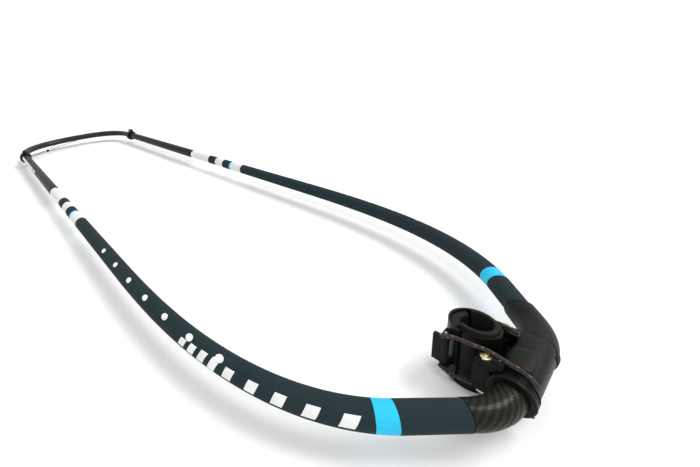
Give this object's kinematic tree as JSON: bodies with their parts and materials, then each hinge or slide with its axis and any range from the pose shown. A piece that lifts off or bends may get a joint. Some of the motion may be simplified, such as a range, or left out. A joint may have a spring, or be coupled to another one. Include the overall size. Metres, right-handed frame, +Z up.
{
  "type": "windsurf boom",
  "caption": "Adjustable wishbone boom: two bowed foam-gripped carbon arms, a hinged mast clamp head with lashing, and a sliding slotted tail held by lever clamps.",
  "frame": {"origin": "middle of the boom on the surface it lies on, with the tail pushed in", "axes": "+X from the tail to the mast clamp, +Y to starboard, +Z up from the surface the boom lies on"},
  "size_m": [2.0487, 0.5918, 0.082],
  "materials": {
    "carbon": "clear-coated woven carbon",
    "grip_foam": "fine textured foam",
    "black_plastic": "satin moulded",
    "cover_plastic": "satin moulded",
    "rubber": "matt",
    "bolt_metal": "bright",
    "pin_steel": "bright",
    "rope": "braided"
  },
  "bodies": {
    "frame": {"front_tube": "carbon", "tube_shim": "rubber", "port_arm_tube": "carbon", "port_grip": "grip_foam", "port_collar": "black_plastic", "port_clamp": "black_plastic", "port_clamp_pad": "rubber", "port_clamp_pin": "pin_steel", "starboard_arm_tube": "carbon", "starboard_grip": "grip_foam", "starboard_collar": "black_plastic", "starboard_clamp": "black_plastic", "starboard_clamp_pad": "rubber", "starboard_clamp_pin": "pin_steel"},
    "head": {"upper_shell": "black_plastic", "lower_shell": "black_plastic", "top_cover": "cover_plastic", "mast_cup": "black_plastic", "cup_liner": "rubber", "jaw_pin": "pin_steel", "lashing_upper": "rope", "lashing_lower": "rope", "lashing_far": "rope", "port_bolt": "bolt_metal", "port_nut": "pin_steel", "starboard_bolt": "bolt_metal", "starboard_nut": "pin_steel"},
    "jaw": {"rear_jaw": "black_plastic", "jaw_liner": "rubber", "lever_pin": "pin_steel"},
    "head_lever": {"lashing_lever": "cover_plastic"},
    "port_lever": {"port_clamp_lever": "black_plastic"},
    "starboard_lever": {"starboard_clamp_lever": "black_plastic"},
    "tail": {"tail_tube": "carbon", "sheave_pin_1": "pin_steel", "sheave_pin_2": "pin_steel", "sheave_pin_3": "pin_steel", "port_tail_button": "black_plastic", "starboard_tail_button": "black_plastic", "tail_line_port": "rope", "tail_line_starboard": "rope", "tail_line_leg": "rope", "tail_toggle": "black_plastic"},
    "inner_roller_1": {"inner_sheave_1": "black_plastic"},
    "inner_roller_2": {"inner_sheave_2": "black_plastic"},
    "inner_roller_3": {"inner_sheave_3": "black_plastic"},
    "outer_roller_1": {"outer_sheave_1": "black_plastic"},
    "outer_roller_2": {"outer_sheave_2": "black_plastic"},
    "outer_roller_3": {"outer_sheave_3": "black_plastic"}
  },
  "joints": [
    {"name": "head_rock", "type": "hinge", "parent": "frame", "child": "head", "pos_m": [1.00357, 0, 0.045], "axis": [0, 1, 0], "range_deg": [-8, 8]},
    {"name": "jaw_swing", "type": "hinge", "parent": "head", "child": "jaw", "pos_m": [0.95355, 0.03275, 0.045], "axis": [0, 0, -1], "range_deg": [0, 60]},
    {"name": "lashing_lever_swing", "type": "hinge", "parent": "jaw", "child": "head_lever", "pos_m": [0.93707, -0.03, 0.045], "axis": [0, 0, 1], "range_deg": [0, 85]},
    {"name": "tail_slide", "type": "slide", "parent": "frame", "child": "tail", "axis": [-1, 0, 0], "range_m": [0, 0.45]},
    {"name": "port_clamp_lever_lift", "type": "hinge", "parent": "frame", "child": "port_lever", "pos_m": [-0.73743, -0.271, 0.0742], "axis": [0, 1, 0], "range_deg": [0, 100]},
    {"name": "starboard_clamp_lever_lift", "type": "hinge", "parent": "frame", "child": "starboard_lever", "pos_m": [-0.73743, 0.271, 0.0742], "axis": [0, 1, 0], "range_deg": [0, 100]},
    {"name": "inner_sheave_1_spin", "type": "hinge", "parent": "tail", "child": "inner_roller_1", "pos_m": [-0.99093, -0.018, 0.045], "axis": [1, 0, 0], "continuous": true},
    {"name": "inner_sheave_2_spin", "type": "hinge", "parent": "tail", "child": "inner_roller_2", "pos_m": [-0.99093, 0, 0.045], "axis": [1, 0, 0], "continuous": true},
    {"name": "inner_sheave_3_spin", "type": "hinge", "parent": "tail", "child": "inner_roller_3", "pos_m": [-0.99093, 0.018, 0.045], "axis": [1, 0, 0], "continuous": true},
    {"name": "outer_sheave_1_spin", "type": "hinge", "parent": "tail", "child": "outer_roller_1", "pos_m": [-1.01143, -0.018, 0.045], "axis": [1, 0, 0], "continuous": true},
    {"name": "outer_sheave_2_spin", "type": "hinge", "parent": "tail", "child": "outer_roller_2", "pos_m": [-1.01143, 0, 0.045], "axis": [1, 0, 0], "continuous": true},
    {"name": "outer_sheave_3_spin", "type": "hinge", "parent": "tail", "child": "outer_roller_3", "pos_m": [-1.01143, 0.018, 0.045], "axis": [1, 0, 0], "continuous": true}
  ]
}
